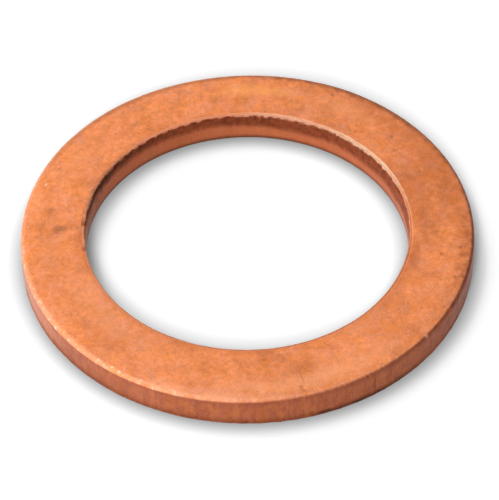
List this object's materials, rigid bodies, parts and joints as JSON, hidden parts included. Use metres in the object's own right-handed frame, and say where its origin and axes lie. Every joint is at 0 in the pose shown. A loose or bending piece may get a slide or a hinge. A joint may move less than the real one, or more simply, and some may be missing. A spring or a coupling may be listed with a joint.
{
  "type": "sealing washer",
  "caption": "Flat copper ring with a plain bore, squeezed between a screwed plug and its seat to seal the joint.",
  "frame": {"origin": "centre of the bore, in the plane of the lower face", "axes": "+Z along the bore axis, from the lower face to the upper face, whose outer edge is rolled; the ring is round, so +X and +Y are free"},
  "size_m": [0.0198, 0.0198, 0.0015],
  "materials": {
    "copper": "satin"
  },
  "bodies": {
    "root": {"washer": "copper"}
  },
  "joints": []
}
